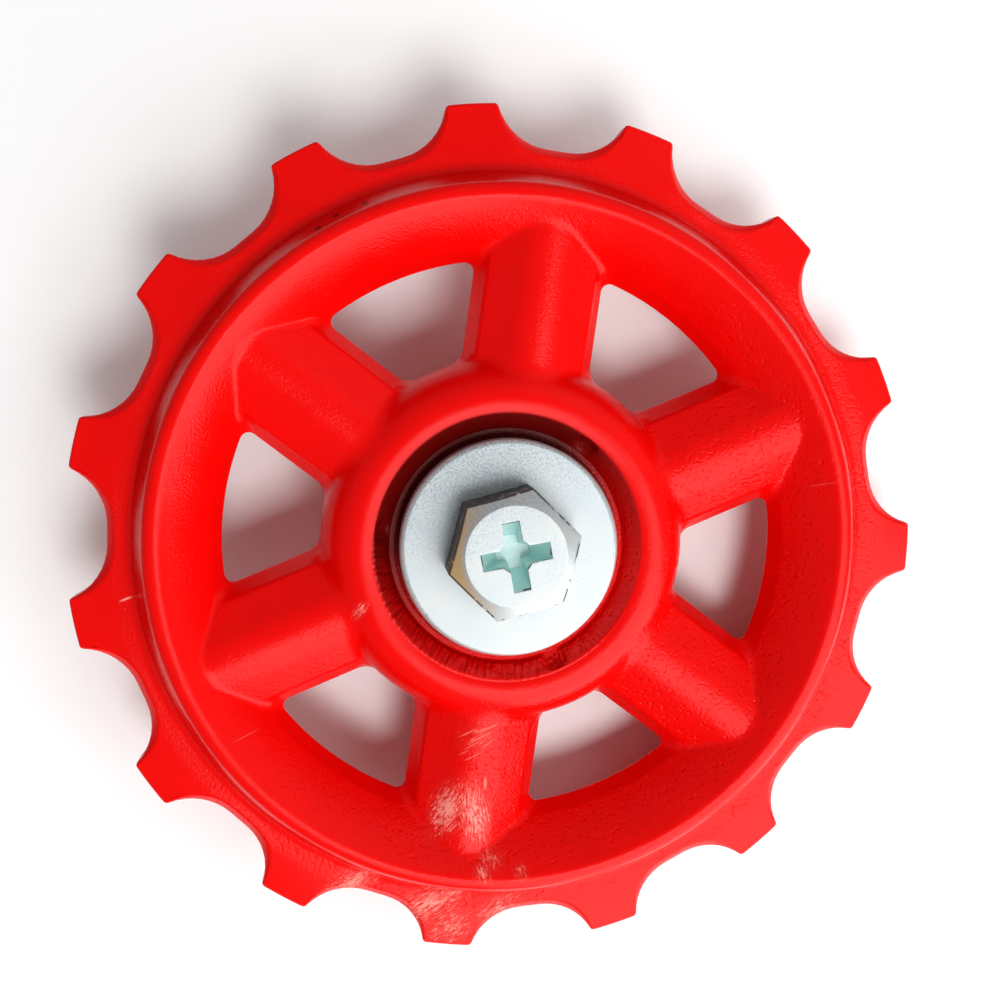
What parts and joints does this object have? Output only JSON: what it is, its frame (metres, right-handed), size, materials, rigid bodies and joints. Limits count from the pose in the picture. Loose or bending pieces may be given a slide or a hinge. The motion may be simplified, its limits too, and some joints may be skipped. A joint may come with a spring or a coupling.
{
  "type": "derailleur jockey wheel",
  "caption": "Red moulded toothed wheel that guides a bicycle chain, with round spokes, turning on a ball bearing held by a zinc-plated hex bolt and washers.",
  "frame": {"origin": "on the wheel's axis, in the middle plane of the tooth ring", "axes": "+Z along the axle towards the bolt's head; one spoke and the tooth at its end point along -Y"},
  "size_m": [0.0586, 0.0584, 0.0153],
  "materials": {
    "red_plastic": "injection-moulded polyamide, satin gloss with a fine pitted skin",
    "zinc_steel": "clear-passivated zinc plating, slightly grainy",
    "bearing_steel": "ground and polished bearing steel",
    "shield_steel": "pressed steel sheet",
    "cage_plastic": "natural moulded polyamide"
  },
  "bodies": {
    "axle": {"axle_bolt": "zinc_steel", "front_washer": "zinc_steel", "rear_washer": "zinc_steel", "front_spacer": "zinc_steel", "rear_spacer": "zinc_steel", "bearing_inner_ring": "bearing_steel"},
    "wheel": {"toothed_wheel": "red_plastic", "bearing_outer_ring": "bearing_steel", "front_shield": "shield_steel", "rear_shield": "shield_steel"},
    "ball_set": {"bearing_cage": "cage_plastic", "bearing_ball_1": "bearing_steel", "bearing_ball_2": "bearing_steel", "bearing_ball_3": "bearing_steel", "bearing_ball_4": "bearing_steel", "bearing_ball_5": "bearing_steel", "bearing_ball_6": "bearing_steel", "bearing_ball_7": "bearing_steel"}
  },
  "joints": [
    {"name": "wheel_spin", "type": "hinge", "parent": "axle", "child": "wheel", "pos_m": [0, 0, 0], "axis": [0, 0, 1], "continuous": true},
    {"name": "ball_set_orbit", "type": "hinge", "parent": "axle", "child": "ball_set", "pos_m": [0, 0, 0], "axis": [0, 0, 1], "continuous": true}
  ],
  "couplings": [
    {"joint": "ball_set_orbit", "follows": "wheel_spin", "ratio": 0.6323}
  ]
}
